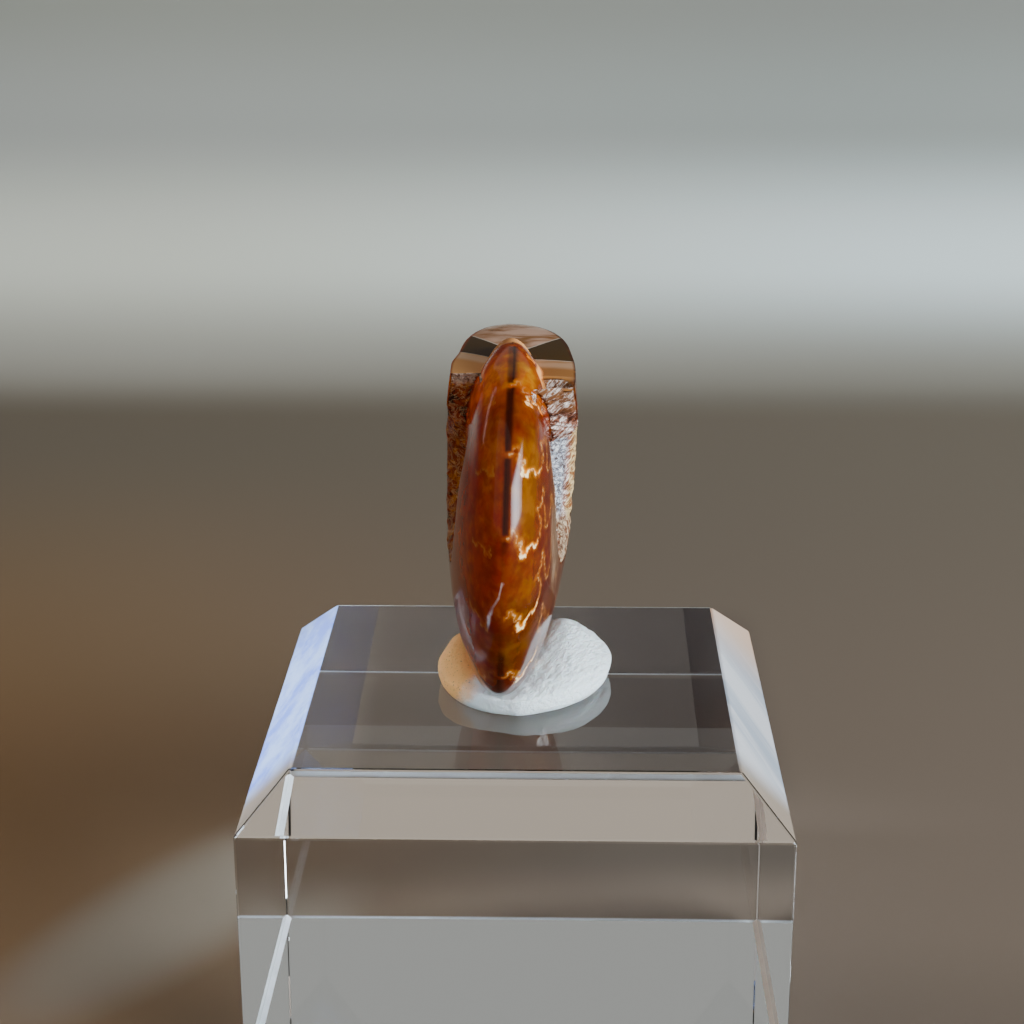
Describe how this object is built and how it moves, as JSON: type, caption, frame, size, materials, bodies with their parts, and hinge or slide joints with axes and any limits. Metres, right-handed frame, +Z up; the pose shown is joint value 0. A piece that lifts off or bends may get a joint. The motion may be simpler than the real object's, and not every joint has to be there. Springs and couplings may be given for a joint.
{
  "type": "ammonite fossil on a display block",
  "caption": "Polished whole ammonite standing on its keel in mounting putty, on a clear square acrylic block with bevelled top edges.",
  "frame": {"origin": "centre of the block's underside, on the surface that it stands on", "axes": "+Z up; -Y is the front, where the keel of the fossil faces; the coil lies almost in the YZ plane"},
  "size_m": [0.05, 0.05, 0.065],
  "materials": {
    "fossil_stone": "polished",
    "putty": "matte",
    "clear_acrylic": "clear polished"
  },
  "bodies": {
    "root": {"ammonite": "fossil_stone", "mounting_putty": "putty", "acrylic_block": "clear_acrylic"}
  },
  "joints": []
}
